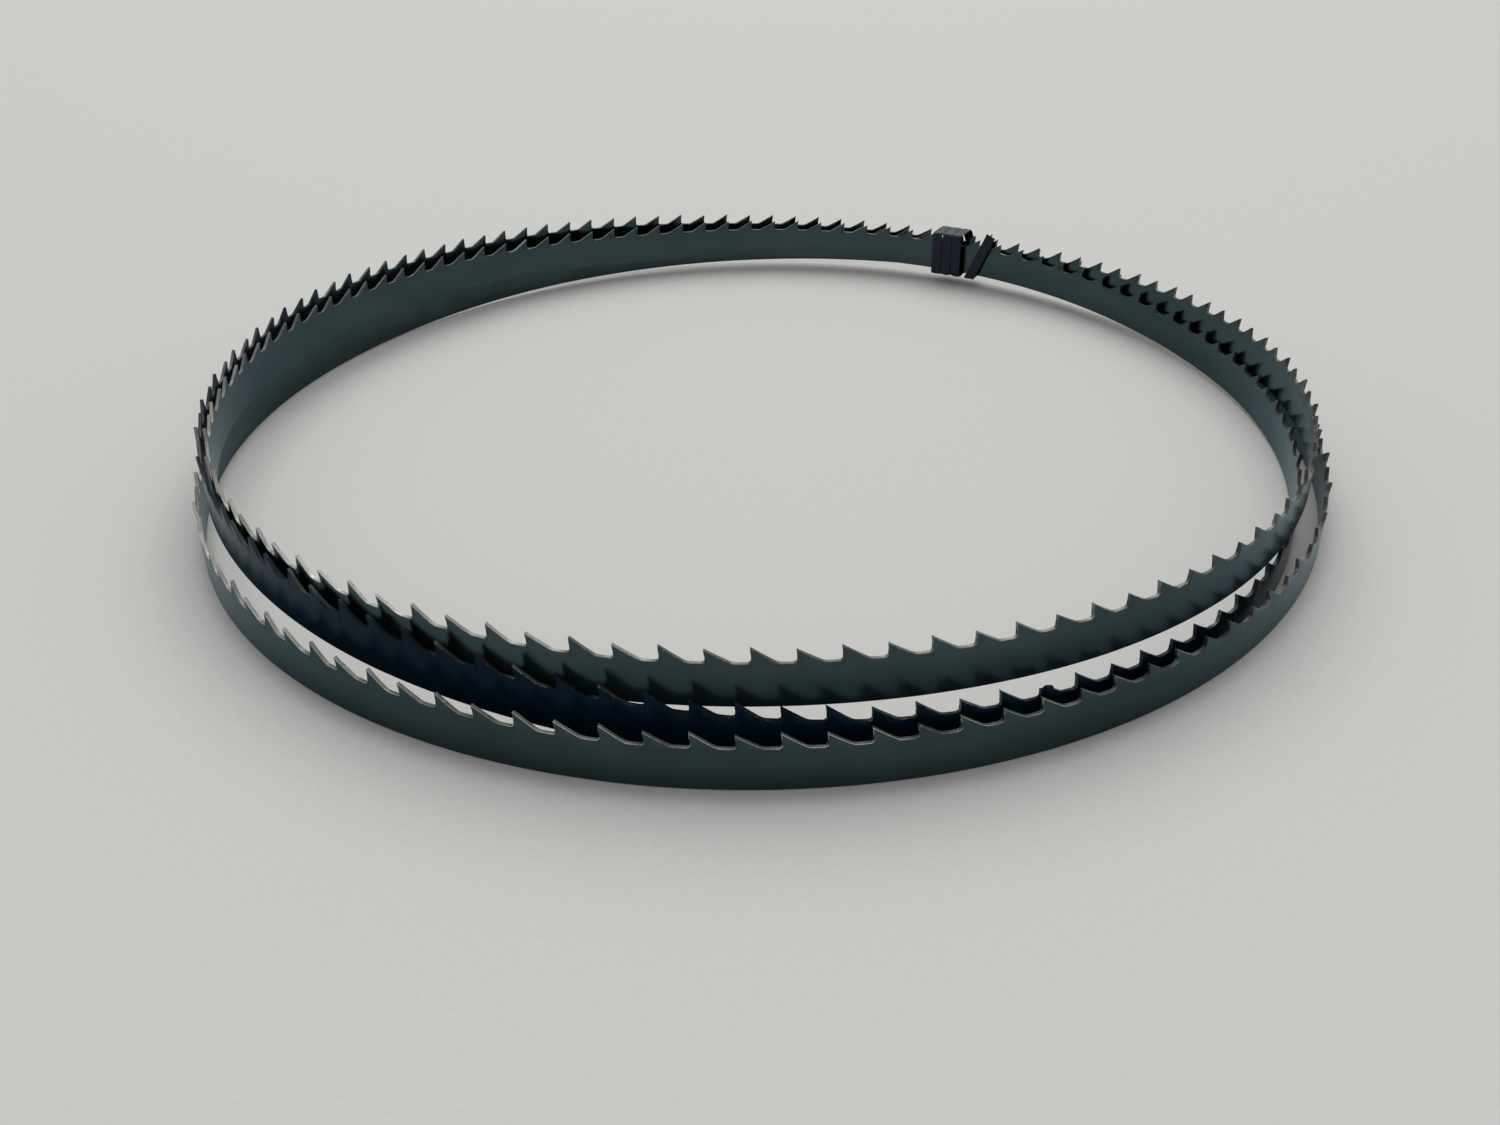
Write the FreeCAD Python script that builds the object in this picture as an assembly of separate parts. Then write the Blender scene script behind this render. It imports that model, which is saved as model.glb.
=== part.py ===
"""Band saw blade, coiled in three turns for storage and held by a twist tie.

The blade is one endless toothed steel band. It lies on its back edge, teeth up, with +Z up and the
origin under the middle of the coil, on the surface that it lies on. Lengths are in millimetres and
angles in degrees. A place along the blade is given by its coil angle, which runs from 0 to 1080 over
the three turns: 0 is at the front (-Y), 90 at the right (+X), 180 at the back.
"""
import FreeCAD, Part
import math
import os
from FreeCAD import Vector

# Driving dimensions of the blade
TEETH = 328              # teeth round the whole band
TOOTH_DEPTH = 2.35       # from a tooth's tip down to the floor of its gullet
BAND_WIDTH = 9.525       # from the back edge to the tooth tips
BAND_THICKNESS = 0.635
TOOTH_SET = 0.25         # how far each tip is bent aside, left and right by turns
RAKE_RUN = 0.2           # how far the cutting face leans forward over the tooth's depth
BACK_RUN = 3.95          # length of the sloping back behind a tip, measured along the band
ROOT_RADIUS = 0.75       # round corner between a gullet's floor and the next cutting face

# Driving dimensions of the coil
TURNS = 3
RING_RADIUS = 110.4      # mean radius of the coil
RING_OVAL = 2.7          # how much longer it is from front to back than across
RING_SKEW = -1.1         # how much that long axis is turned aside
RING_EGG = -0.3          # how much its front is narrower than its back
FIRST_TIP = 0.57         # where the first tooth's tip is, in tooth pitches past angle 0

# How far the band stands outside the mean ring, as coil angle and millimetres.
# The turns lie close together at the back, where the tie holds them, and fan out at the front.
STAND_OUT = [
    (0, -2.65), (50, -0.65), (220, -0.85), (275, 1.45), (330, 2.9),
    (430, 2.95), (500, 1.95), (560, 3.05), (610, 0.85), (700, -0.75),
    (740, 0.85), (800, -2.2), (930, -2.2), (1000, -1.5),
]

# How high the band's back edge is lifted, as coil angle and millimetres.
# It lies on the table from 250 to 430 and near 765, and rides on the tooth tips of the turn
# below it where it crosses that turn, near 50 and 620.
LIFT = [
    (0, 10.25), (44, 10.25), (150, 3.4), (205, 0.8), (250, 0.0),
    (430, 0.0), (480, 1.9), (540, 3.7), (580, 7.6), (615, 9.9), (646, 9.9),
    (690, 6.85), (730, 1.7), (765, 0.0), (825, 0.8), (870, 3.2),
    (910, 3.6), (950, 6.75), (990, 9.0),
]

# Driving dimensions of the tie
TIE_ANGLE = 153.8        # coil angle of its first wrap
TIE_WIDTH = 2.5
TIE_THICKNESS = 0.5
TIE_STEP = 2.7           # from one wrap to the next, along the coil
TIE_WRAPS = 3            # upright wraps, side by side
TIE_SPREAD = 1.2         # more room than that before the slanting strand
TIE_SLANT = 6.2          # how far the slanting strand leans aside on its way up
TIE_BEND = 0.8           # inner radius of its bends
TIE_FREE_END = 1.6       # how far the slanting strand's end stands above its last bend
SEAT_GAP = 0.4           # room between the tie and the band

FULL_ANGLE = 360.0 * TURNS
PATH_STEP = 10           # degrees between the points that carry the coil's path
UP = Vector(0, 0, 1)


def blend(stations, angle):
    """Value at a coil angle, on a smooth closed curve through the stations that never overshoots."""
    angle = angle % FULL_ANGLE
    count = len(stations)

    def station(number):
        turns, place_in_turn = divmod(number, count)
        start, value = stations[place_in_turn]
        return start + turns * FULL_ANGLE, value

    def slope(number):
        """Slope at a station: the harmonic mean of both sides, or level at a high or a low."""
        (left, low), (here, value), (right, high) = [station(number + step) for step in (-1, 0, 1)]
        before = (value - low) / (here - left)
        after = (high - value) / (right - here)
        return 2 * before * after / (before + after) if before * after > 0 else 0.0

    number = max(index for index in range(count) if stations[index][0] <= angle)
    (start, low), (end, high) = station(number), station(number + 1)
    span = end - start
    part = (angle - start) / span
    ease = part * part * (3 - 2 * part)
    leaving = slope(number) * span * part * (1 - part) * (1 - part)
    arriving = slope(number + 1) * span * part * part * (1 - part)
    return low + (high - low) * ease + leaving - arriving


def coil_radius(angle):
    """Distance of the band's middle from the coil's axis."""
    turn = math.radians(angle)
    oval = RING_OVAL * math.cos(2 * turn) + RING_SKEW * math.sin(2 * turn)
    return RING_RADIUS + oval + RING_EGG * math.cos(3 * turn) + blend(STAND_OUT, angle)


def place(angle, radius, height):
    """Point at a coil angle, a distance from the axis and a height."""
    turn = math.radians(angle)
    return Vector(radius * math.sin(turn), -radius * math.cos(turn), height)


def closed_curve(points, parameters=None):
    curve = Part.BSplineCurve()
    if parameters:
        curve.interpolate(Points=points, Parameters=parameters, PeriodicFlag=True)
    else:
        curve.interpolate(Points=points, PeriodicFlag=True)
    return curve


def coil_path():
    """Middle of the band's back edge, all the way round."""
    angles = range(0, int(FULL_ANGLE), PATH_STEP)
    return closed_curve([place(a, coil_radius(a), blend(LIFT, a)) for a in angles])


def wall_curve(path, offset):
    """Back edge of one side of the band; its parameter is the length along the band's middle."""
    length = path.length()
    count = TEETH // 2
    points = []
    lengths = []
    for number in range(count):
        run = number * length / count
        at = path.parameterAtDistance(run, path.FirstParameter)
        points.append(path.value(at) + outward(path, at) * offset)
        lengths.append(run)
    return closed_curve(points, lengths + [length])


def outward(path, at):
    """Level direction out of the coil, square to the band."""
    return path.tangent(at)[0].cross(UP).normalize()


def stretch(curve, start, end):
    """Edge along a wall curve, from one length to another."""
    turn = curve.LastParameter - curve.FirstParameter
    whole = math.floor((start - curve.FirstParameter) / turn) * turn
    piece = curve.copy()
    piece.segment(start - whole, end - whole)
    return piece.toShape()


def root_outline():
    """Gullet corner as points ahead of the tip and above the floor: floor end, middle, cutting face."""
    lean = math.atan2(RAKE_RUN, TOOTH_DEPTH)
    corner = math.pi / 2 + lean
    reach = ROOT_RADIUS / math.tan(corner / 2)
    start = (RAKE_RUN - reach, 0.0)
    end = (RAKE_RUN - reach * math.sin(lean), reach * math.cos(lean))
    turn = (math.pi / 2 - lean) / 2
    middle = (start[0] + ROOT_RADIUS * math.sin(turn), ROOT_RADIUS * (1 - math.cos(turn)))
    return start, middle, end


def tooth_side(wall, tip, pitch, aside):
    """Edges of one tooth on one side of the band, by name. The tooth leans aside above its gullet."""
    floor_height = BAND_WIDTH - TOOTH_DEPTH
    start, middle, end = root_outline()
    first = tip + start[0]
    last = tip + BACK_RUN
    following = tip + pitch + start[0]
    turn = wall.LastParameter
    root = wall.value(first % turn) + UP * floor_height
    heel = wall.value(last % turn) + UP * floor_height
    next_root = wall.value(following % turn) + UP * floor_height
    point = wall.value(tip % turn) + UP * BAND_WIDTH + aside
    along = (heel - root).normalize()
    rise = (point - root) - along * (point - root).dot(along)
    rise = rise / TOOTH_DEPTH

    def spot(ahead, height):
        return root + along * (ahead - start[0]) + rise * height

    corner = [root, spot(*middle), spot(*end), spot(0.0, TOOTH_DEPTH)]
    return {
        "foot": stretch(wall, first, last),
        "foot_between": stretch(wall, last, following),
        "base": Part.makeLine(root, heel),
        "floor": Part.makeLine(heel, next_root),
        "root_low": Part.makeLine(corner[0], corner[1]),
        "root_high": Part.makeLine(corner[1], corner[2]),
        "cutting_face": Part.makeLine(corner[2], corner[3]),
        "back": Part.makeLine(corner[3], heel),
    }


def side_faces(side):
    """Faces of one tooth pitch on one side: the wall below the gullets, and the tooth."""
    tooth = [side[name] for name in ("base", "root_low", "root_high", "cutting_face", "back")]
    return [
        Part.makeRuledSurface(side["foot"], side["base"]),
        Part.makeRuledSurface(side["foot_between"], side["floor"]),
        Part.Face(Part.Wire(tooth)),
    ]


def edge_faces(outer, inner):
    """Faces across the band's thickness: the back edge, the gullet and the tooth."""
    across = [name for name in outer if name != "base"]
    return [Part.makeRuledSurface(outer[name], inner[name]) for name in across]


def make_blade(path):
    """The endless band, one tooth pitch after another, closed on itself."""
    length = path.length()
    pitch = length / TEETH
    outer_wall = wall_curve(path, BAND_THICKNESS / 2)
    inner_wall = wall_curve(path, -BAND_THICKNESS / 2)
    faces = []
    for number in range(TEETH):
        tip = (number + FIRST_TIP) * pitch
        at = path.parameterAtDistance(tip % length, path.FirstParameter)
        hand = 1 if number % 2 == 0 else -1
        aside = outward(path, at) * (hand * TOOTH_SET)
        outer = tooth_side(outer_wall, tip, pitch, aside)
        inner = tooth_side(inner_wall, tip, pitch, aside)
        faces += side_faces(outer) + side_faces(inner) + edge_faces(outer, inner)
    skin = Part.makeCompound(faces)
    skin.sewShape()
    return Part.makeSolid(skin.Shells[0])


def tie_frame():
    """Where the tie's first wrap is, and the level directions along its wraps and out of the coil."""
    span = 4.0
    radius = coil_radius(TIE_ANGLE)
    left = place(TIE_ANGLE + span, coil_radius(TIE_ANGLE + span), 0)
    right = place(TIE_ANGLE - span, coil_radius(TIE_ANGLE - span), 0)
    along = (right - left).normalize()
    return place(TIE_ANGLE, radius, 0), along, along.cross(UP) * -1


def tie_room(origin, out):
    """Room inside the tie: how far in and out it reaches from the frame's origin, its foot and top."""
    reach = TIE_WRAPS * TIE_STEP + TIE_SPREAD + TIE_SLANT + TIE_WIDTH
    sideways = []
    heights = []
    for turn in range(TURNS):
        for part in range(9):
            along = -TIE_WIDTH + (reach + TIE_WIDTH) * part / 8
            angle = TIE_ANGLE - math.degrees(along / RING_RADIUS) + 360 * turn
            sideways.append((place(angle, coil_radius(angle), 0) - origin).dot(out))
            heights.append(blend(LIFT, angle))
    aside = BAND_THICKNESS / 2 + TOOTH_SET + SEAT_GAP
    low = min(heights) - SEAT_GAP
    high = max(heights) + BAND_WIDTH + SEAT_GAP
    return min(sideways) - aside, max(sideways) + aside, low, high


def make_tie():
    """The tie, one flat strip wound round the three turns of the coil."""
    origin, along, out = tie_frame()
    inner, outer, foot, top = tie_room(origin, out)
    half = TIE_WIDTH / 2
    pieces = []

    def spot(u, y, z):
        return origin + along * u + out * y + UP * z

    def plate(first, last, thick):
        """Flat run from one end of the strip to another; each end is (u, y, z) on its inner side."""
        corners = [spot(first[0] - half, *first[1:]), spot(first[0] + half, *first[1:])]
        corners += [spot(last[0] + half, *last[1:]), spot(last[0] - half, *last[1:])]
        outline = Part.makePolygon(corners + corners[:1])
        pieces.append(Part.Face(outline).extrude(thick * TIE_THICKNESS))

    def bend(u, side, level):
        """Round corner; side is -1 inside the coil and 1 outside, level is -1 at the foot, 1 on top."""
        y = (outer if side > 0 else inner) - side * TIE_BEND
        z = (top if level > 0 else foot) - level * TIE_BEND
        tilt = math.sqrt(0.5)
        near = TIE_BEND
        far = TIE_BEND + TIE_THICKNESS

        def on(distance, sideways, upward):
            return spot(u - half, y + side * sideways * distance, z + level * upward * distance)

        edges = [
            Part.Arc(on(near, 1, 0), on(near, tilt, tilt), on(near, 0, 1)).toShape(),
            Part.makeLine(on(near, 0, 1), on(far, 0, 1)),
            Part.Arc(on(far, 0, 1), on(far, tilt, tilt), on(far, 1, 0)).toShape(),
            Part.makeLine(on(far, 1, 0), on(near, 1, 0)),
        ]
        pieces.append(Part.Face(Part.Wire(edges)).extrude(along * TIE_WIDTH))

    low, high = foot + TIE_BEND, top - TIE_BEND
    near_in, near_out = inner + TIE_BEND, outer - TIE_BEND
    middle = (foot + top) / 2
    for number in range(TIE_WRAPS + 1):
        u = number * TIE_STEP
        last = number == TIE_WRAPS
        if last:
            u = u + TIE_SPREAD
        before = (number - 1) * TIE_STEP
        if number == 0:
            plate((u, outer, middle), (u, outer, low), out)
        else:
            plate((before, outer, high), (u, outer, low), out)
        bend(u, 1, -1)
        plate((u, near_out, foot), (u, near_in, foot), UP * -1)
        bend(u, -1, -1)
        if last:
            plate((u, inner, low), (u + TIE_SLANT, inner, top + TIE_FREE_END), out * -1)
        else:
            plate((u, inner, low), (u, inner, high), out * -1)
            bend(u, -1, 1)
            plate((u, near_in, top), (u, near_out, top), UP)
            bend(u, 1, 1)
    tie = pieces[0].fuse(pieces[1:]).removeSplitter()
    return tie.Solids[0] if len(tie.Solids) == 1 else tie


def main():
    path = coil_path()
    blade = make_blade(path)
    tie = make_tie()
    box = blade.BoundBox
    shift = Vector(-box.Center.x, -box.Center.y, -box.ZMin)
    os.makedirs("parts", exist_ok=True)
    for name, shape in (("blade", blade), ("tie", tie)):
        shape.translate(shift)
        shape.exportStep("parts/" + name + ".step")
        print(name, "valid", shape.isValid(), "volume", round(shape.Volume, 1))
    print("band length", round(path.length(), 1), "pitch", round(path.length() / TEETH, 4))
    print("shift", shift)


main()
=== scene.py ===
"""Looks of the coiled band saw blade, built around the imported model.

Lengths are in metres in Blender. The blade's own sizes are written in millimetres, as on a drawing,
and turned into metres where the meshes are made. A place along the blade is its coil angle in degrees,
from 0 to 1080 over the three turns: 0 is at the front (-Y), 90 at the right (+X) and 180 at the back.
"""
import math

import bpy
import numpy as np
from mathutils import Matrix, Vector


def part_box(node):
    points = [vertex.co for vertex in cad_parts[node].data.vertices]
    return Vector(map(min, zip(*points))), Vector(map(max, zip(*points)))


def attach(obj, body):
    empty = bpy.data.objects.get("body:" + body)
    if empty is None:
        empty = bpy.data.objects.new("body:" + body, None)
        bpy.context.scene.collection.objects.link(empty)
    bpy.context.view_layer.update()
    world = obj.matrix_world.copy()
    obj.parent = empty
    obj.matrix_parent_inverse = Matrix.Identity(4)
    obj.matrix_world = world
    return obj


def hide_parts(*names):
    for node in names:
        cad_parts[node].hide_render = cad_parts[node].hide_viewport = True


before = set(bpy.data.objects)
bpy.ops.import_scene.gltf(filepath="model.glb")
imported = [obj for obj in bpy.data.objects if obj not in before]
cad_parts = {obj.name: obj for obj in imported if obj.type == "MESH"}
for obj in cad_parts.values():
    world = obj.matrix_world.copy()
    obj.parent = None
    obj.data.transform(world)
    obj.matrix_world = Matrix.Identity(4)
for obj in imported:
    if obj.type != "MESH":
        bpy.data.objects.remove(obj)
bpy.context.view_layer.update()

MM = 0.001
UP = np.array([0, 0, 1.0])
SEED = 31
rng = np.random.default_rng(SEED)

# The blade
TEETH = 328
TOOTH_DEPTH = 2.35
BAND_WIDTH = 9.525
BAND_THICKNESS = 0.635
TOOTH_SET = 0.25
EDGE_BEVEL = 0.045
BACK_EDGE_BEVEL = 0.09
BURR_WIDTH = 0.07
BURR_REACH = 2.2  # most that the burr may reach in from a corner, in burr widths
BODY_DROP = 0.55  # from the gullets' floor down to the top of the band's flat body
SHARP_ANGLE = 32  # degrees from which an edge between two faces is shown sharp

# A tooth's outline: places ahead of its tip, and parts of the way up its rake or down its back
RAKE_RUN = 0.2
RAKE_PARTS = [0.55, 0.985]
TIP_FLAT = 0.045
BACK_RUN = 3.95
BACK_PARTS = [0.22, 0.46, 0.7, 0.86]
BACK_HOLLOW = 0.04
BACK_FOOT = [(-0.12, 0.11), (0.25, 0.02), (0.7, 0.0)]  # places past BACK_RUN, and heights
ROOT_RADIUS = 0.75
ROOT_POINTS = 6

# Where the mesh lines that come down from the rake side of a tooth meet the band's body
ROOT_LINES_END = 0.5
ROOT_LINES_SHARE = 0.62
RAKE_LINES = [0.2, 0.3]
TIP_LINE = 0.4

# What differs from tooth to tooth: a share of the set, height lost or gained at the tip, brightness
SET_SPREAD = 0.12
TIP_WEAR = 0.06
BRIGHT_SPREAD = 0.16

# The coil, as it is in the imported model: stations of coil angle and millimetres
TURNS = 3
RING_RADIUS = 110.4
RING_OVAL = 2.7
RING_SKEW = -1.1
RING_EGG = -0.3
FIRST_TIP = 0.57  # the first tooth's place, in pitches
STAND_OUT = [
    (0, -2.65), (50, -0.65), (220, -0.85), (275, 1.45), (330, 2.9),
    (430, 2.95), (500, 1.95), (560, 3.05), (610, 0.85), (700, -0.75),
    (740, 0.85), (800, -2.2), (930, -2.2), (1000, -1.5),
]
LIFT = [
    (0, 10.25), (44, 10.25), (150, 3.4), (205, 0.8), (250, 0.0),
    (430, 0.0), (480, 1.9), (540, 3.7), (580, 7.6), (615, 9.9), (646, 9.9),
    (690, 6.85), (730, 1.7), (765, 0.0), (825, 0.8), (870, 3.2),
    (910, 3.6), (950, 6.75), (990, 9.0),
]
FULL_ANGLE = 360.0 * TURNS

# How bright the teeth's edges are, as coil angle and share: bare ground steel and painted highlight
EDGE_WEAR_AND_HIGHLIGHT = [
    (0, 0.14), (40, 0.14), (90, 0.10), (250, 0.04), (278, 0.75), (315, 0.75), (364, 0.80),
    (376, 0.45), (388, 0.22), (405, 0.28), (450, 0.12), (600, 0.03), (640, 0.04), (700, 0.06),
    (740, 0.04), (900, 0.04), (985, 0.10), (1010, 0.34), (1045, 0.38),
]
# Painted shade, as coil angle and share: the turn between the other two, darkened to navy where it lies in
# their shade
MIDDLE_TURN_PAINTED_SHADE = [
    (0, 0.0), (560, 0.0), (590, 0.2), (620, 0.6), (655, 1.0), (770, 1.0), (800, 0.0), (1000, 0.0),
]
# Painted shade along the lower half of the inner turn, fading out between two heights of the band
LOW_PAINTED_SHADE = [(0, 0.5), (60, 0.5), (95, 0.0), (960, 0.0), (1000, 0.5)]
LOW_PAINTED_SHADE_FADE = (1.5, 6.2)

# The chipped tooth: its coil angle, its rake's heights, and its top as places ahead and heights
CHIPPED_ANGLE = 740.5
CHIPPED_RAKE = [0.85, 1.45]
CHIPPED_TOP = [(0.05, 1.50), (0.50, 1.38), (0.95, 1.80), (2.10, 1.58), (2.35, 0.95)]

# The tie: a ribbon of plastic film with a wire in its middle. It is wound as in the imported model,
# but its slanting end is a little shorter and its bends are wider, to keep it clear of the turns.
TIE_ANGLE = 153.8
TIE_SPAN = 4.0  # degrees to either side, which give the direction along the wraps
TIE_WIDTH = 2.5
TIE_STEP = 2.7
TIE_WRAPS = 3
TIE_SPREAD = 1.2
TIE_SLANT = 5.4
TIE_BEND = 1.05
TIE_FREE_END = 1.0
TIE_FILM = 0.15
TIE_WIRE = 0.42
TIE_CRUMPLE = 0.16
TIE_WIRE_END = 0.7
SEAT_GAP = 0.4
TIE_SHARP_ANGLE = 50  # degrees, as for the blade
BEND_POINTS = 7
STRAIGHT_POINTS = 9
RIBBON_POINTS = 15
RIDGE_SHARE = 0.24  # of half the ribbon's width
CREASE_STEP = 3  # rings of the ribbon's mesh from one crease to the next
TWIST_PASSES = 2
WIRE_SIDES = 16
WIRE_CUT = [(0, 1.0), (0.93, 1.0), (0.985, 0.8), (1.0, 0.5)]  # parts of its length, shares of its radius

# The photograph's camera: its focal length and width in pixels, its place in millimetres from the
# middle of the coil, and its angles in radians
FOCAL_PIXELS = 1414.8
IMAGE_WIDTH = 1500
CAMERA_PLACE = (-2.63, -270.9, 126.7)
CAMERA_PITCH = 0.526
CAMERA_ROLL = -0.007
SENSOR_WIDTH = 36.0
CLIP_START = 0.01

# Light and table, in metres and degrees
SKY_COLOUR = (0.97, 0.98, 1.0)
SKY_STRENGTH = 0.47
BACKDROP_COLOUR = (1.0, 0.995, 0.965)
BACKDROP_STRENGTH = 0.56
WINDOW_PLACE = (0.04, 0.90, 1.30)
WINDOW_SPREAD = 56.0
WINDOW_STRENGTH = 1.74
TABLE_SIZE = 8.0
TABLE_DROP = 0.00005  # keeps the table's plane from meeting the blade's edge

# Colours as linear red, green and blue. A metal's colour is the share of the light that it reflects.
OXIDE_DARK = (0.041, 0.066, 0.071)
OXIDE_PALE = (0.054, 0.083, 0.089)
# dark navy of the painted shade on the middle turn and low on the inner turn
PAINTED_SHADE_NAVY = (0.003, 0.013, 0.028)
OXIDE_RUBBED = (0.16, 0.18, 0.18)
OXIDE_SHEEN = (0.74, 0.84, 0.90)
BURR_DULL = (0.048, 0.053, 0.053)
# the burr's colour under the painted shade
BURR_PAINTED_SHADE = (0.010, 0.015, 0.022)
# bright bare steel, also used for the painted highlight on the teeth's edges
BURR_BRIGHT = (0.66, 0.66, 0.64)
GROUND_DARK = (0.072, 0.070, 0.064)
GROUND_PALE = (0.125, 0.121, 0.112)
# the ground edges' colour under the painted shade
GROUND_PAINTED_SHADE = (0.018, 0.023, 0.029)
# bright bare steel, also used for the painted highlight on the ground edges
GROUND_BRIGHT = (0.52, 0.52, 0.50)
BACK_EDGE_DARK = (0.05, 0.06, 0.065)
BACK_EDGE_BRIGHT = (0.34, 0.34, 0.33)
PLASTIC_DARK = (0.003, 0.008, 0.018)
PLASTIC_PALE = (0.006, 0.015, 0.032)
ZINC_DARK = (0.16, 0.165, 0.17)
ZINC_PALE = (0.30, 0.31, 0.32)
TABLE_DARK = (0.602, 0.600, 0.572)
TABLE_PALE = (0.628, 0.626, 0.598)
EDGE_SHADE_GAIN = 2.5  # painted shade reaches the teeth's edges sooner than the sides
BURR_SHADE_LOSS = 0.3  # share of the bright line that full painted shade takes away
SIDE_STEP = 7.3  # keeps the patterns on the band's two sides apart


# The coil

def blend(stations, angle):
    """Values at coil angles, on a smooth closed curve through the stations that never overshoots."""
    where = np.array([start for start, _ in stations], dtype=float)
    value = np.array([amount for _, amount in stations], dtype=float)
    span = np.diff(np.append(where, where[0] + FULL_ANGLE))
    rise = np.diff(np.append(value, value[0])) / span
    before = np.roll(rise, 1)
    uphill = before * rise > 0
    slope = np.where(uphill, 2 * before * rise / np.where(uphill, before + rise, 1.0), 0.0)
    angle = np.mod(angle, FULL_ANGLE)
    here = np.searchsorted(where, angle, side="right") - 1
    following = (here + 1) % len(where)
    part = (angle - where[here]) / span[here]
    ease = part * part * (3 - 2 * part)
    leaving = slope[here] * span[here] * part * (1 - part) ** 2
    arriving = slope[following] * span[here] * part ** 2 * (1 - part)
    return value[here] + (value[following] - value[here]) * ease + leaving - arriving


def coil_radius(angle):
    """How far the middle of the band is from the coil's axis."""
    turn = np.radians(angle)
    oval = RING_OVAL * np.cos(2 * turn) + RING_SKEW * np.sin(2 * turn)
    return RING_RADIUS + oval + RING_EGG * np.cos(3 * turn) + blend(STAND_OUT, angle)


def unit(rows):
    """Vectors of length one."""
    return rows / np.linalg.norm(rows, axis=-1, keepdims=True)


class Coil:
    """The middle of the band's back edge, as a closed line measured by its length."""

    STEPS = 21600

    def __init__(self):
        self.angle = np.linspace(0, FULL_ANGLE, self.STEPS + 1)
        turn = np.radians(self.angle)
        radius = coil_radius(self.angle)
        lift = blend(LIFT, self.angle)
        self.points = np.stack([radius * np.sin(turn), -radius * np.cos(turn), lift], 1)
        steps = np.linalg.norm(np.diff(self.points, axis=0), axis=1)
        self.run = np.concatenate([[0], np.cumsum(steps)])
        self.length = self.run[-1]
        ahead = np.roll(self.points[:-1], -1, axis=0) - np.roll(self.points[:-1], 1, axis=0)
        ahead = np.vstack([ahead, ahead[:1]])
        self.out = unit(np.stack([ahead[:, 1], -ahead[:, 0], np.zeros(len(ahead))], 1))

    def at(self, run, rows):
        """The line's points or directions, a row for each, read at lengths along it."""
        run = np.mod(run, self.length)
        return np.stack([np.interp(run, self.run, column) for column in rows.T], -1)

    def place(self, run, height, aside):
        """Points from the length along the band, the height in it, and how far outward they stand."""
        base = self.at(run, self.points) + self.at(run, self.out) * np.asarray(aside)[..., None]
        base[..., 2] += height
        return base


# The blade's mesh

def tooth_profile():
    """One pitch of the toothed edge, from the root arc over the tip to the next gullet's floor.

    Each point has a place ahead of the tip, a height above the gullet's floor, and the place where
    the mesh line under it meets the band's body.
    """
    lean = math.atan2(RAKE_RUN, TOOTH_DEPTH)
    root_start = RAKE_RUN - ROOT_RADIUS / math.tan((math.pi / 2 + lean) / 2)
    part = np.linspace(0, 1, ROOT_POINTS)
    turn = part * (math.pi / 2 - lean)
    root_place = root_start + ROOT_RADIUS * np.sin(turn)
    root = ROOT_RADIUS * (1 - np.cos(turn))
    root_lines = root_start + part * (ROOT_LINES_END - root_start) * ROOT_LINES_SHARE
    rake = root[-1] + (TOOTH_DEPTH - root[-1]) * np.array(RAKE_PARTS)
    rake_place = RAKE_RUN * (1 - rake / TOOTH_DEPTH)
    part = np.array(BACK_PARTS)
    back_place = TIP_FLAT + (BACK_RUN - TIP_FLAT) * part
    back = TOOTH_DEPTH * (1 - part) - BACK_HOLLOW * np.sin(math.pi * part)
    floor_place, floor = np.transpose(BACK_FOOT)
    floor_place = floor_place + BACK_RUN
    places = np.concatenate([root_place, rake_place, [TIP_FLAT], back_place, floor_place])
    heights = np.concatenate([root, rake, [TOOTH_DEPTH], back, floor])
    lines = np.concatenate([root_lines, RAKE_LINES, [TIP_LINE], back_place, floor_place])
    return places, heights, lines


def inset(places, heights, pitch):
    """The toothed edge moved into the metal by the burr's width."""
    across = np.diff(np.concatenate([places[-1:] - pitch, places, places[:1] + pitch]))
    upward = np.diff(np.concatenate([heights[-1:], heights, heights[:1]]))
    inward = unit(np.stack([upward, -across], 1))
    corner = inward[:-1] + inward[1:]
    size = np.linalg.norm(corner, axis=1)
    step = corner * (BURR_WIDTH * np.minimum(2 / size, BURR_REACH) / size)[:, None]
    return places + step[:, 0], heights + step[:, 1]


def tooth_rows(pitch, angle):
    """The outline of each tooth at its coil angle, one of them chipped, and its burr's inner line."""
    places, heights, _ = tooth_profile()
    outline = (places, heights, *inset(places, heights, pitch))
    places, heights, inner_places, inner_heights = (np.tile(row, (TEETH, 1)) for row in outline)
    chipped = np.argmin(np.abs(angle - CHIPPED_ANGLE))
    rake = slice(ROOT_POINTS, ROOT_POINTS + len(CHIPPED_RAKE))
    top = slice(rake.stop, rake.stop + len(CHIPPED_TOP))
    heights[chipped, rake] = CHIPPED_RAKE
    places[chipped, top], heights[chipped, top] = np.transpose(CHIPPED_TOP)
    inner = inset(places[chipped], heights[chipped], pitch)
    inner_places[chipped], inner_heights[chipped] = inner
    return places, heights, inner_places, inner_heights


def grid_mesh(name, vertices, faces, material_index, corners):
    """A mesh from arrays of quads, with named vectors on every face corner."""
    mesh = bpy.data.meshes.new(name)
    mesh.vertices.add(len(vertices))
    mesh.vertices.foreach_set("co", vertices.astype(np.float32).ravel())
    mesh.loops.add(faces.size)
    mesh.loops.foreach_set("vertex_index", faces.astype(np.int32).ravel())
    mesh.polygons.add(len(faces))
    mesh.polygons.foreach_set("loop_start", np.arange(0, faces.size, 4, dtype=np.int32))
    mesh.polygons.foreach_set("material_index", material_index.astype(np.int32))
    mesh.polygons.foreach_set("use_smooth", np.ones(len(faces), dtype=bool))
    for key, values in corners.items():
        layer = mesh.attributes.new(key, "FLOAT_VECTOR", "CORNER")
        layer.data.foreach_set("vector", values.astype(np.float32).ravel())
    mesh.update(calc_edges=True)
    mesh.validate()
    return mesh


SIDE, BURR, GROUND, BACK = range(4)


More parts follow.
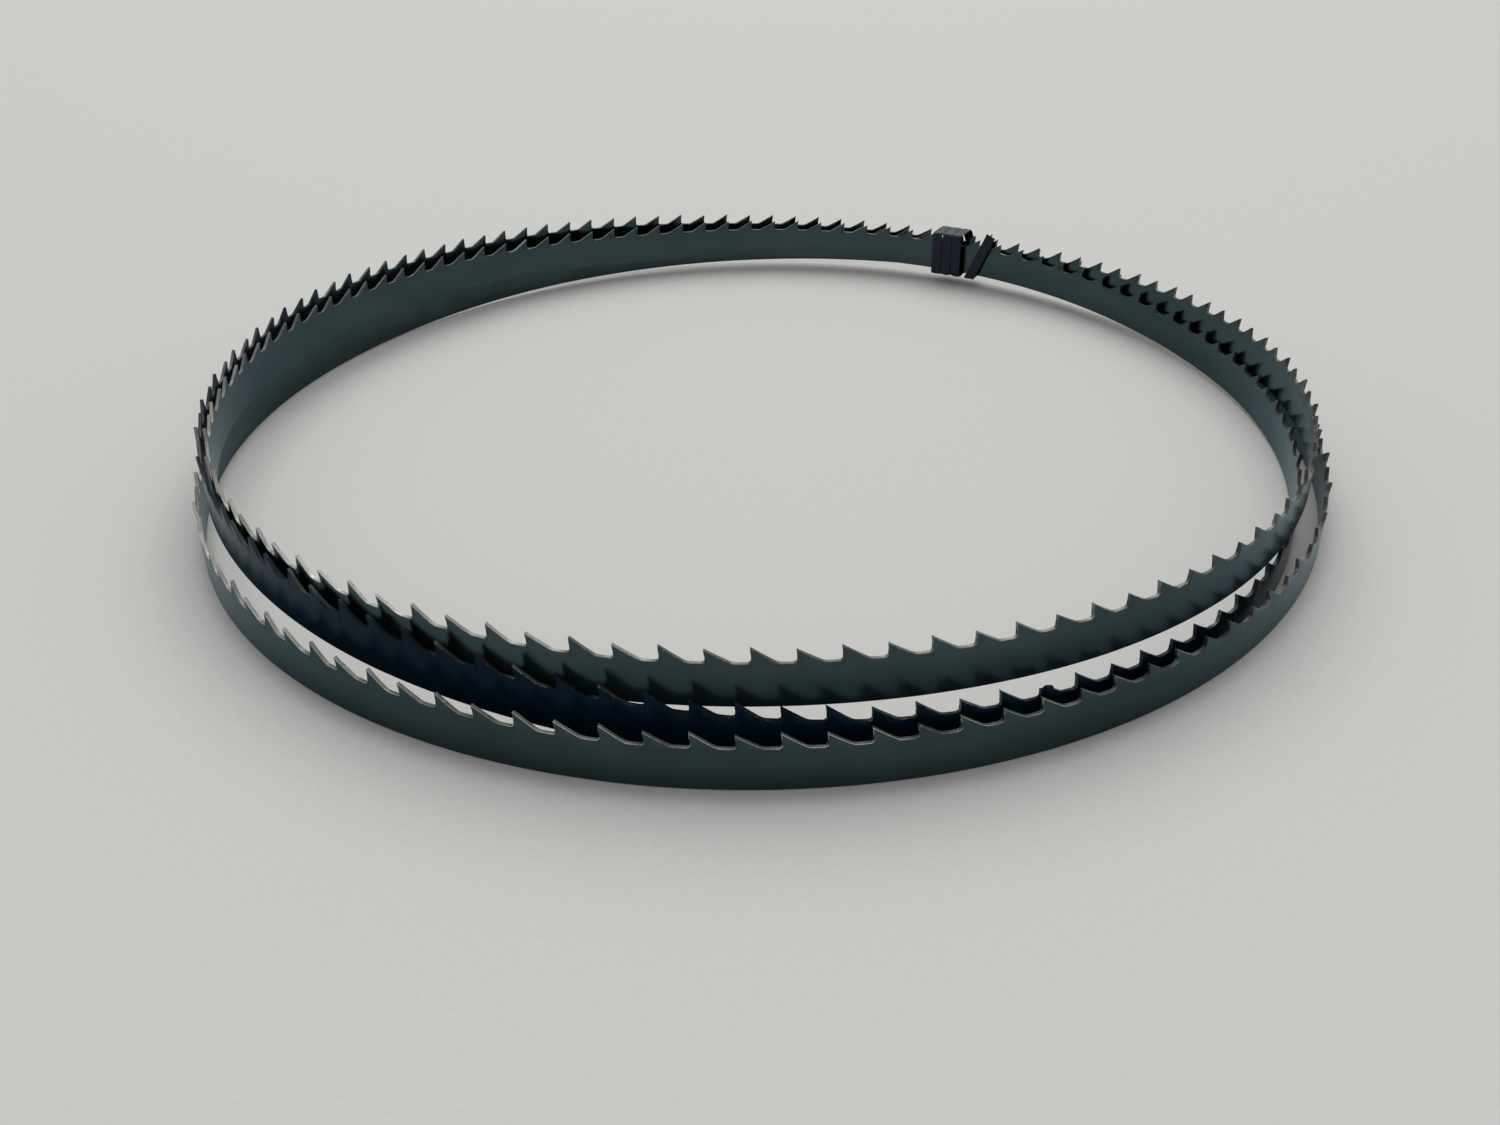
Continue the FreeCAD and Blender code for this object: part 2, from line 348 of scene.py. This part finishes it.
def band_faces(depth, count):
    """The band's faces, how many times each corner is past the loop's end, and their material slots.

    The band is made of closed lines of count points: depth of them up its outer side, from the back
    edge to the teeth, and as many up its inner side.
    """
    column = np.arange(count)
    following = (column + 1) % count
    past_end = (column + 1) // count
    faces, laps, slots = [], [], []

    def strip(lower, upper, slot, flip):
        lower, upper = lower * count, upper * count
        quad = [lower + column, lower + following, upper + following, upper + column]
        lap = [column * 0, past_end, past_end, column * 0]
        if flip:
            quad, lap = quad[::-1], lap[::-1]
        faces.append(np.stack(quad, 1))
        laps.append(np.stack(lap, 1))
        slots.append(np.full(count, slot))

    for level in range(depth - 1):
        slot = {0: BACK, depth - 2: BURR}.get(level, SIDE)
        strip(level, level + 1, slot, False)
        strip(depth + level, depth + level + 1, slot, True)
    strip(depth - 1, 2 * depth - 1, GROUND, False)
    strip(0, depth, BACK, True)
    return np.concatenate(faces), np.concatenate(laps), np.concatenate(slots)


def shift_to_frame(vertices):
    """The move that puts the drawn blade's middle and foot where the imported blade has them."""
    low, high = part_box("blade")
    shift = np.add(low, high) / 2 / MM - (vertices.min(0) + vertices.max(0)) / 2
    shift[2] = low.z / MM - vertices[:, 2].min()
    return shift


def make_blade(coil):
    """The whole toothed band: a closed mesh with rounded edges, root arcs and set teeth."""
    pitch = coil.length / TEETH
    tooth = np.arange(TEETH)
    tip = ((tooth + FIRST_TIP) * pitch)[:, None]
    angle = np.interp(np.mod(tip[:, 0], coil.length), coil.run, coil.angle)
    _, plain_heights, lines = tooth_profile()
    places, heights, inner_places, inner_heights = tooth_rows(pitch, angle)
    hand = np.where(tooth % 2 == 0, 1.0, -1.0) * (1 + rng.uniform(-SET_SPREAD, SET_SPREAD, TEETH))
    wear = rng.uniform(-TIP_WEAR, TIP_WEAR, (TEETH, 1)) * (plain_heights / TOOTH_DEPTH) ** 2
    # Edge brightness per tooth: bare ground steel, made lighter by coil angle as a painted highlight
    edge_wear_and_highlight = np.clip(blend(EDGE_WEAR_AND_HIGHLIGHT, angle) + rng.normal(0, BRIGHT_SPREAD, TEETH), 0, 1)

    def bend(level):
        return hand[:, None] * TOOTH_SET * np.clip(level, 0, None) / TOOTH_DEPTH

    flat = np.zeros(places.shape)
    floor = BAND_WIDTH - TOOTH_DEPTH
    half = BAND_THICKNESS / 2
    # Lines up the band's side: places along it, heights, half the thickness there, and the bend
    levels = [
        (tip + lines, flat, half - BACK_EDGE_BEVEL, flat),
        (tip + lines, flat + BACK_EDGE_BEVEL, half, flat),
        (tip + lines, flat + floor - BODY_DROP, half, flat),
        (tip + inner_places, floor + inner_heights + wear, half, bend(inner_heights)),
        (tip + places, floor + heights + wear, half - EDGE_BEVEL, bend(heights)),
    ]
    points, marks = [], []
    for side in (1, -1):
        for run, height, thick, aside in levels:
            points.append(coil.place(run, height, aside + side * thick))
            marks.append(np.stack([run, height, flat + side], -1))
    vertices = np.stack(points).reshape(-1, 3)
    marks = np.stack(marks).reshape(-1, 3)
    # Per tooth: edge brightness (bare steel and painted highlight), painted shade of the middle turn,
    # painted shade low on the inner turn
    wear_and_painted_light_rows = np.stack([edge_wear_and_highlight, blend(MIDDLE_TURN_PAINTED_SHADE, angle), blend(LOW_PAINTED_SHADE, angle)], -1)
    wear_and_painted_light_rows = np.tile(np.repeat(wear_and_painted_light_rows, places.shape[1], axis=0), (len(points), 1))
    faces, laps, slots = band_faces(len(levels), places.size)
    band = marks[faces]
    band[..., 0] += laps * coil.length
    shift = shift_to_frame(vertices)
    corners = {"band": band, "wear_and_painted_light": wear_and_painted_light_rows[faces]}
    mesh = grid_mesh("blade_skin", (vertices + shift) * MM, faces, slots, corners)
    mesh.set_sharp_from_angle(angle=math.radians(SHARP_ANGLE))
    return mesh, shift


# The tie's meshes

def tie_frame():
    """Where the tie's first wrap is, and the level directions along its wraps and out of the coil."""
    def foot_at(angle):
        turn = math.radians(angle)
        return coil_radius(angle) * np.array([math.sin(turn), -math.cos(turn), 0.0])

    along = unit(foot_at(TIE_ANGLE - TIE_SPAN) - foot_at(TIE_ANGLE + TIE_SPAN))
    return foot_at(TIE_ANGLE), along, np.cross(UP, along)


def tie_room(coil, origin, along, out):
    """Room inside the tie: how far in and out it reaches from its frame, its foot and top."""
    reach = TIE_WRAPS * TIE_STEP + TIE_SPREAD + TIE_SLANT + TIE_WIDTH
    near = coil.points - origin
    inside = (near @ along > -TIE_WIDTH) & (near @ along < reach) & (np.abs(near @ out) < RING_RADIUS / 2)
    sideways = near[inside] @ out
    heights = near[inside][:, 2]
    aside = BAND_THICKNESS / 2 + TOOTH_SET + SEAT_GAP
    low, high = heights.min() - SEAT_GAP, heights.max() + BAND_WIDTH + SEAT_GAP
    return sideways.min() - aside, sideways.max() + aside, low, high


def tie_route(inner, outer, foot, top):
    """The ribbon's middle as places along the wraps, outward and up, with round corners."""
    corners = [(0.0, outer, (foot + top) / 2)]
    for number in range(TIE_WRAPS):
        along = number * TIE_STEP
        corners += [(along, outer, foot), (along, inner, foot), (along, inner, top), (along, outer, top)]
    along = TIE_WRAPS * TIE_STEP + TIE_SPREAD
    corners += [(along, outer, foot), (along, inner, foot)]
    corners = np.array(corners + [(along + TIE_SLANT, inner, top + TIE_FREE_END)])
    turn = np.linspace(0, math.pi / 2, BEND_POINTS)[:, None]
    straight = np.linspace(0, 1, STRAIGHT_POINTS)[1:-1, None]
    route = [corners[:1]]
    for before, here, after in zip(corners[:-2], corners[1:-1], corners[2:]):
        back, ahead = unit(before - here) * TIE_BEND, unit(after - here) * TIE_BEND
        route.append(here + back * (1 - np.sin(turn)) + ahead * (1 - np.cos(turn)))
        route.append(here + ahead + (after - here - 2 * ahead) * straight)
    route.append(corners[-1:])
    return np.concatenate(route)


def smooth_rows(rows):
    """Directions along a line, each one evened out with its neighbours."""
    for _ in range(TWIST_PASSES):
        rows = (np.vstack([rows[:1], rows[:-1]]) + rows + np.vstack([rows[1:], rows[-1:]])) / 3
    return unit(rows)


def tube_quads(rings, columns):
    """The faces of a tube through rings of points, closed at both ends."""
    ring, column = np.meshgrid(np.arange(rings - 1), np.arange(columns), indexing="ij")
    following = (column + 1) % columns
    quads = [ring * columns + column, ring * columns + following,
             (ring + 1) * columns + following, (ring + 1) * columns + column]
    strip = np.arange(columns // 2 - 1)
    first = np.stack([strip, strip + 1, columns - 2 - strip, columns - 1 - strip], 1)[:, ::-1]
    last = first[:, ::-1] + (rings - 1) * columns
    return np.concatenate([np.stack(quads, -1).reshape(-1, 4), first, last])


def make_tie(coil, shift):
    """A creased ribbon whose wire shows as a ridge, and the ends of the wire that stands out of it."""
    origin, along, out = tie_frame()

    def placed(local):
        return local[..., :1] * along + local[..., 1:2] * out + local[..., 2:] * UP + origin + shift

    route = tie_route(*tie_room(coil, origin, along, out))
    tangent = unit(np.gradient(route, axis=0))
    normal = unit(np.cross(tangent, [1.0, 0, 0]))
    side = smooth_rows(np.cross(tangent, normal))
    run = np.concatenate([[0], np.cumsum(np.linalg.norm(np.diff(route, axis=0), axis=1))])
    across = np.linspace(-1, 1, RIBBON_POINTS)
    ridge = (TIE_WIRE - TIE_FILM) * np.exp(-(across / RIDGE_SHARE) ** 2)
    creases = run[::CREASE_STEP]
    curls = [np.interp(run, creases, rng.normal(0, TIE_CRUMPLE, len(creases)))[:, None] for _ in range(2)]
    lift = np.abs(np.where(across < 0, *curls)) * across ** 2
    upper = np.stack([np.broadcast_to(across * TIE_WIDTH / 2, lift.shape), lift + TIE_FILM + ridge], -1)
    lower = np.stack([upper[..., 0], lift], -1)[:, ::-1]
    loop = np.concatenate([upper, lower], 1)
    local = route[:, None] + side[:, None] * loop[..., :1] + normal[:, None] * loop[..., 1:]
    faces = tube_quads(*loop.shape[:2])
    marks = np.concatenate([np.broadcast_to(run[:, None, None], (*loop.shape[:2], 1)), loop], -1)
    corners = {"band": marks.reshape(-1, 3)[faces]}
    mesh = grid_mesh("tie_ribbon", placed(local).reshape(-1, 3) * MM, faces, np.zeros(len(faces)), corners)
    mesh.set_sharp_from_angle(angle=math.radians(TIE_SHARP_ANGLE))
    tip = route[-1] + normal[-1] * TIE_WIRE / 2
    return mesh, placed(tip + tangent[-1] * TIE_WIRE_END * np.array([[-1], [1]]))


def make_wire_end(start, end):
    """The wire where it stands out of the ribbon, with a rounded cut end."""
    axis = unit(end - start)
    aside = unit(np.cross(axis, UP))
    upward = np.cross(axis, aside)
    turn = np.linspace(0, 2 * math.pi, WIRE_SIDES, endpoint=False)
    circle = TIE_WIRE / 2 * (np.cos(turn)[:, None] * aside + np.sin(turn)[:, None] * upward)
    vertices = np.concatenate([start + (end - start) * part + circle * share for part, share in WIRE_CUT])
    marks = np.concatenate([np.stack([turn * 0 + part, turn, turn * 0], 1) for part, _ in WIRE_CUT])
    faces = tube_quads(len(WIRE_CUT), WIRE_SIDES)
    return grid_mesh("tie_wire_end", vertices * MM, faces, np.zeros(len(faces)), {"band": marks[faces]})


# Materials

class Shading:
    """The nodes of a material or of the world. Most calls add a node and give its output."""

    def __init__(self, owner):
        owner.use_nodes = True
        self.nodes, self.links = owner.node_tree.nodes, owner.node_tree.links
        self.nodes.clear()

    def add(self, kind, inputs, **settings):
        """A new node. Each of its inputs is linked to an output, or set to a number or a colour."""
        node = self.nodes.new("ShaderNode" + kind)
        for key, value in settings.items():
            setattr(node, key, value)
        for key, value in inputs.items():
            socket = node.inputs[key]
            if isinstance(value, bpy.types.NodeSocket):
                self.links.new(value, socket)
            else:
                socket.default_value = (*value, 1.0) if socket.type == "RGBA" else value
        return node

    def mark(self, name):
        """The vector that the meshes keep under this name."""
        return self.add("Attribute", {}, attribute_name=name).outputs["Vector"]

    def split(self, vector):
        return self.add("SeparateXYZ", {0: vector}).outputs

    def noise(self, vector, scale, detail, roughness):
        inputs = {"Vector": vector, "Scale": scale, "Detail": detail, "Roughness": roughness}
        return self.add("TexNoise", inputs).outputs["Fac"]

    def band_noise(self, along, across, detail, roughness):
        """Noise that follows the band, with so many waves to the millimetre along and across it."""
        stretch = {0: self.mark("band"), 1: (along, across, SIDE_STEP)}
        place = self.add("VectorMath", stretch, operation="MULTIPLY").outputs["Vector"]
        return self.noise(place, 1.0, detail, roughness)

    def remap(self, value, start, end):
        """A value stretched from the range start to the range end, and held within it."""
        ranges = {"From Min": start[0], "From Max": start[1], "To Min": end[0], "To Max": end[1]}
        return self.add("MapRange", {"Value": value, **ranges}).outputs["Result"]

    def ramp(self, value, *stops):
        """A colour that changes between two stops, each a position and a colour."""
        node = self.add("ValToRGB", {"Fac": value})
        for element, (position, colour) in zip(node.color_ramp.elements, stops):
            element.position = position
            element.color = (*colour, 1.0)
        return node.outputs["Color"]

    def mix(self, factor, first, second):
        """A colour between two. The colour mix has its colours at the inputs 6 and 7."""
        return self.add("Mix", {"Factor": factor, 6: first, 7: second}, data_type="RGBA").outputs[2]

    def math(self, operation, first, second):
        """A sum, difference or product, held between 0 and 1."""
        return self.add("Math", {0: first, 1: second}, operation=operation, use_clamp=True).outputs[0]

    def bump(self, height, strength, distance):
        inputs = {"Height": height, "Strength": strength, "Distance": distance}
        return self.add("Bump", inputs).outputs["Normal"]


def make_material(paint):
    """A material named after its paint function, which gives what goes into the main shader."""
    material = bpy.data.materials.new(paint.__name__)
    shading = Shading(material)
    shader = shading.add("BsdfPrincipled", paint(shading))
    shading.add("OutputMaterial", {"Surface": shader.outputs["BSDF"]})
    return material


def blued_steel(shading):
    """Rolled steel with a dark oxide skin: fine lines along the band, cloudy patches, rubbed spots, and
    painted shade in dark navy on the middle turn and low on the inner turn.
    """
    lines = shading.band_noise(along=0.05, across=9.0, detail=5.0, roughness=0.6)
    clouds = shading.band_noise(along=0.05, across=0.16, detail=3.0, roughness=0.5)
    specks = shading.band_noise(along=0.9, across=2.2, detail=6.0, roughness=0.7)
    _, painted_shade, low_painted_shade = shading.split(shading.mark("wear_and_painted_light"))
    height = shading.split(shading.mark("band"))["Y"]
    # painted shade low on the inner turn, strongest at the band's foot, added to the middle turn's
    low = shading.remap(height, LOW_PAINTED_SHADE_FADE, (1.0, 0.0))
    painted_shade = shading.math("ADD", painted_shade, shading.math("MULTIPLY", low, low_painted_shade))
    oxide = shading.ramp(clouds, (0.30, OXIDE_DARK), (0.70, OXIDE_PALE))
    # painted shade: the oxide goes dark navy and less metallic
    oxide = shading.mix(painted_shade, oxide, PAINTED_SHADE_NAVY)
    rubbed = shading.math("SUBTRACT", shading.remap(specks, (0.66, 0.80), (0.0, 0.55)), painted_shade)
    return {
        "Base Color": shading.mix(rubbed, oxide, OXIDE_RUBBED),
        "Metallic": shading.remap(painted_shade, (0.0, 1.0), (1.0, 0.35)),
        "Specular IOR Level": 0.06,
        "Specular Tint": OXIDE_SHEEN,
        "Roughness": shading.remap(lines, (0.3, 0.7), (0.19, 0.27)),
        "Normal": shading.bump(lines, strength=0.08, distance=0.00003),
    }


def burr_steel(shading):
    """The burr along the teeth's edges: a thin line of bare steel and painted highlight, broken where the
    oxide still holds and dimmed by painted shade on the middle turn.
    """
    edge_wear_and_highlight, painted_shade, _ = shading.split(shading.mark("wear_and_painted_light"))
    patches = shading.band_noise(along=1.8, across=2.4, detail=6.0, roughness=0.72)
    grit = shading.band_noise(along=7.0, across=7.0, detail=3.0, roughness=0.6)
    # painted shade of the middle turn, stronger on the teeth's edges
    painted_shade = shading.math("MULTIPLY", painted_shade, EDGE_SHADE_GAIN)
    # the bright line: bare steel in patches plus the painted highlight
    share = shading.math("ADD", shading.remap(patches, (0.44, 0.64), (-0.15, 0.38)), edge_wear_and_highlight)
    share = shading.math("SUBTRACT", share, shading.math("MULTIPLY", painted_shade, BURR_SHADE_LOSS))
    return {
        "Base Color": shading.mix(share, shading.mix(painted_shade, BURR_DULL, BURR_PAINTED_SHADE), BURR_BRIGHT),
        "Metallic": 1.0,
        "Roughness": shading.remap(grit, (0.3, 0.7), (0.22, 0.42)),
        "Normal": shading.bump(grit, strength=0.4, distance=0.00005),
    }


def ground_steel(shading):
    """Across the band's thickness: ground gullets and tooth backs, brownish grey with bright grains,
    lighter with painted highlight and darker with painted shade on the middle turn.
    """
    edge_wear_and_highlight, painted_shade, _ = shading.split(shading.mark("wear_and_painted_light"))
    patches = shading.band_noise(along=0.5, across=0.5, detail=4.0, roughness=0.6)
    grains = shading.band_noise(along=3.2, across=3.2, detail=5.0, roughness=0.7)
    grit = shading.band_noise(along=9.0, across=9.0, detail=3.0, roughness=0.6)
    dull = shading.ramp(patches, (0.35, GROUND_DARK), (0.65, GROUND_PALE))
    # painted shade of the middle turn darkens the ground edges
    dull = shading.mix(shading.math("MULTIPLY", painted_shade, EDGE_SHADE_GAIN), dull, GROUND_PAINTED_SHADE)
    # painted highlight: the edge brightness lightens the grains and the patches
    flecks = shading.math("MULTIPLY", shading.remap(grains, (0.60, 0.70), (0.0, 1.0)), edge_wear_and_highlight)
    worn_and_highlight = shading.math("MULTIPLY", edge_wear_and_highlight, shading.remap(patches, (0.4, 0.6), (0.35, 1.0)))
    return {
        "Base Color": shading.mix(shading.math("ADD", flecks, worn_and_highlight), dull, GROUND_BRIGHT),
        "Metallic": 1.0,
        "Roughness": shading.remap(grit, (0.3, 0.7), (0.34, 0.54)),
        "Normal": shading.bump(grit, strength=0.35, distance=0.00006),
    }


def back_edge_steel(shading):
    """The smooth edge, polished in places by the saw's thrust bearing."""
    patches = shading.band_noise(along=0.08, across=1.0, detail=4.0, roughness=0.6)
    return {
        "Base Color": shading.ramp(patches, (0.38, BACK_EDGE_DARK), (0.62, BACK_EDGE_BRIGHT)),
        "Metallic": 1.0,
        "Roughness": shading.remap(patches, (0.3, 0.7), (0.36, 0.22)),
    }


def tie_plastic(shading):
    """Dark blue plastic film over a wire, creased across where it was bent."""
    creases = shading.band_noise(along=2.6, across=0.5, detail=4.0, roughness=0.6)
    clouds = shading.band_noise(along=0.7, across=1.2, detail=4.0, roughness=0.6)
    grain = shading.band_noise(along=9.0, across=9.0, detail=3.0, roughness=0.6)
    return {
        "Base Color": shading.ramp(clouds, (0.35, PLASTIC_DARK), (0.65, PLASTIC_PALE)),
        "Roughness": shading.remap(grain, (0.3, 0.7), (0.30, 0.50)),
        "Specular IOR Level": 0.25,
        "Normal": shading.bump(creases, strength=0.45, distance=0.00012),
    }


def tie_wire(shading):
    """Zinc coated wire, dull."""
    spots = shading.band_noise(along=4.0, across=4.0, detail=4.0, roughness=0.6)
    return {
        "Base Color": shading.ramp(spots, (0.35, ZINC_DARK), (0.65, ZINC_PALE)),
        "Metallic": 1.0,
        "Roughness": shading.remap(spots, (0.3, 0.7), (0.35, 0.55)),
    }


def table_top(shading):
    """A pale matt table with a very fine grain."""
    place = shading.add("TexCoord", {}).outputs["Object"]
    grain = shading.noise(place, scale=900.0, detail=3.0, roughness=0.6)
    return {
        "Base Color": shading.ramp(grain, (0.3, TABLE_DARK), (0.7, TABLE_PALE)),
        "Roughness": 0.75,
    }


# The pieces

def add_piece(name, mesh, paints, node):
    """Show a mesh as a piece of the part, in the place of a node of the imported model."""
    for paint in paints:
        mesh.materials.append(make_material(paint))
    piece = bpy.data.objects.new(name, mesh)
    bpy.context.scene.collection.objects.link(piece)
    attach(piece, "root")
    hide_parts(node)


coil = Coil()
blade_mesh, coil_shift = make_blade(coil)
blade_paints = [blued_steel, burr_steel, ground_steel, back_edge_steel]
add_piece("blade_band", blade_mesh, blade_paints, "blade")
tie_mesh, wire_ends = make_tie(coil, coil_shift)
add_piece("tie_ribbon", tie_mesh, [tie_plastic], "tie")
add_piece("tie_wire_end", make_wire_end(*wire_ends), [tie_wire], "tie")


# Table, light and camera

def make_world():
    """An even pale sky. What is seen directly or in a reflection is as bright as the table looks."""
    world = bpy.data.worlds.new("world")
    shading = Shading(world)
    sky = shading.add("Background", {"Color": SKY_COLOUR, "Strength": SKY_STRENGTH})
    backdrop = shading.add("Background", {"Color": BACKDROP_COLOUR, "Strength": BACKDROP_STRENGTH})
    path = shading.add("LightPath", {})
    seen = shading.math("ADD", path.outputs["Is Camera Ray"], path.outputs["Is Glossy Ray"])
    seen = shading.math("ADD", seen, path.outputs["Is Transmission Ray"])
    mixed = shading.add("MixShader", {0: seen, 1: sky.outputs[0], 2: backdrop.outputs[0]})
    shading.add("OutputWorld", {"Surface": mixed.outputs[0]})
    return world


def add_window():
    """Soft light from a wide part of the sky behind the coil, equally strong over the whole table."""
    light = bpy.data.lights.new("window", "SUN")
    light.energy = WINDOW_STRENGTH
    light.angle = math.radians(WINDOW_SPREAD)
    lamp = bpy.data.objects.new("window", light)
    lamp.location = WINDOW_PLACE
    lamp.rotation_euler = (-Vector(WINDOW_PLACE)).to_track_quat("-Z", "Y").to_euler()
    bpy.context.scene.collection.objects.link(lamp)


def add_camera():
    """The camera, where the photograph was taken from."""
    lens = bpy.data.cameras.new("camera")
    lens.sensor_width = SENSOR_WIDTH
    lens.lens = SENSOR_WIDTH * FOCAL_PIXELS / IMAGE_WIDTH
    lens.clip_start = CLIP_START
    camera = bpy.data.objects.new("camera", lens)
    turn = Matrix.Rotation(math.pi / 2 - CAMERA_PITCH, 4, "X") @ Matrix.Rotation(CAMERA_ROLL, 4, "Z")
    position = (Vector(CAMERA_PLACE) + Vector(coil_shift)) * MM
    camera.matrix_world = Matrix.Translation(position) @ turn
    bpy.context.scene.collection.objects.link(camera)
    bpy.context.scene.camera = camera


bpy.ops.mesh.primitive_plane_add(size=TABLE_SIZE, location=(0, 0, -TABLE_DROP))
table = bpy.context.object
table.name = "table"
table.data.materials.append(make_material(table_top))
bpy.context.scene.world = make_world()
add_window()
add_camera()
bpy.context.scene.view_settings.view_transform = "Standard"
